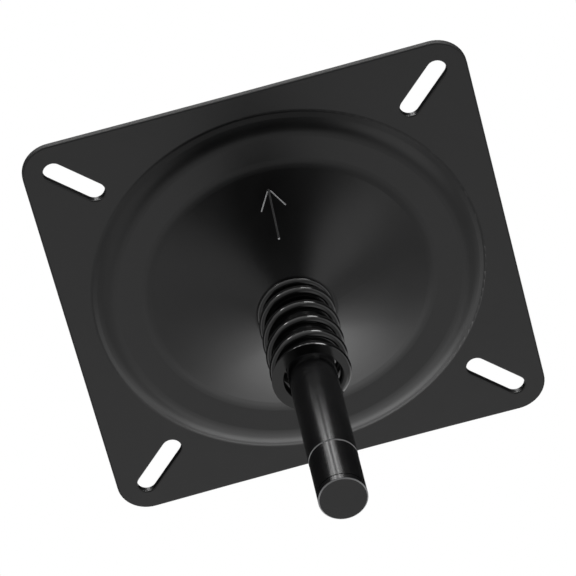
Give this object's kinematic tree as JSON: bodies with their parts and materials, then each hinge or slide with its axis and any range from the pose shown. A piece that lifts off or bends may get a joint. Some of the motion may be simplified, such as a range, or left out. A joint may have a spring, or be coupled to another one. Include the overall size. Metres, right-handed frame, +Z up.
{
  "type": "swivel seat base",
  "caption": "Square pressed seat plate with a dished centre, slotted corners, a long swivel pin and a compression spring round it.",
  "frame": {"origin": "centre of the plate's seat face, in the plane of the face that the seat is bolted to, on the pin's axis", "axes": "+Z up to the seat, the pin points down along -Z, -Y is the front edge that the arrow points to, +X is right seen from above with the front towards the viewer"},
  "size_m": [0.1778, 0.1775, 0.1536],
  "materials": {
    "plate_coat": "satin black coat",
    "pin_coat": "gloss black coat",
    "spring_coat": "gloss black coat"
  },
  "bodies": {
    "base": {"seat_plate": "plate_coat", "pedestal_pin": "pin_coat", "pin_weld": "pin_coat"},
    "spring": {"coil_spring": "spring_coat"}
  },
  "joints": [
    {"name": "spring_compression", "type": "slide", "parent": "base", "child": "spring", "axis": [0, 0, 1], "range_m": [0, 0.018], "stiffness_N_per_m": 46000, "deforming": ["coil_spring"]}
  ]
}
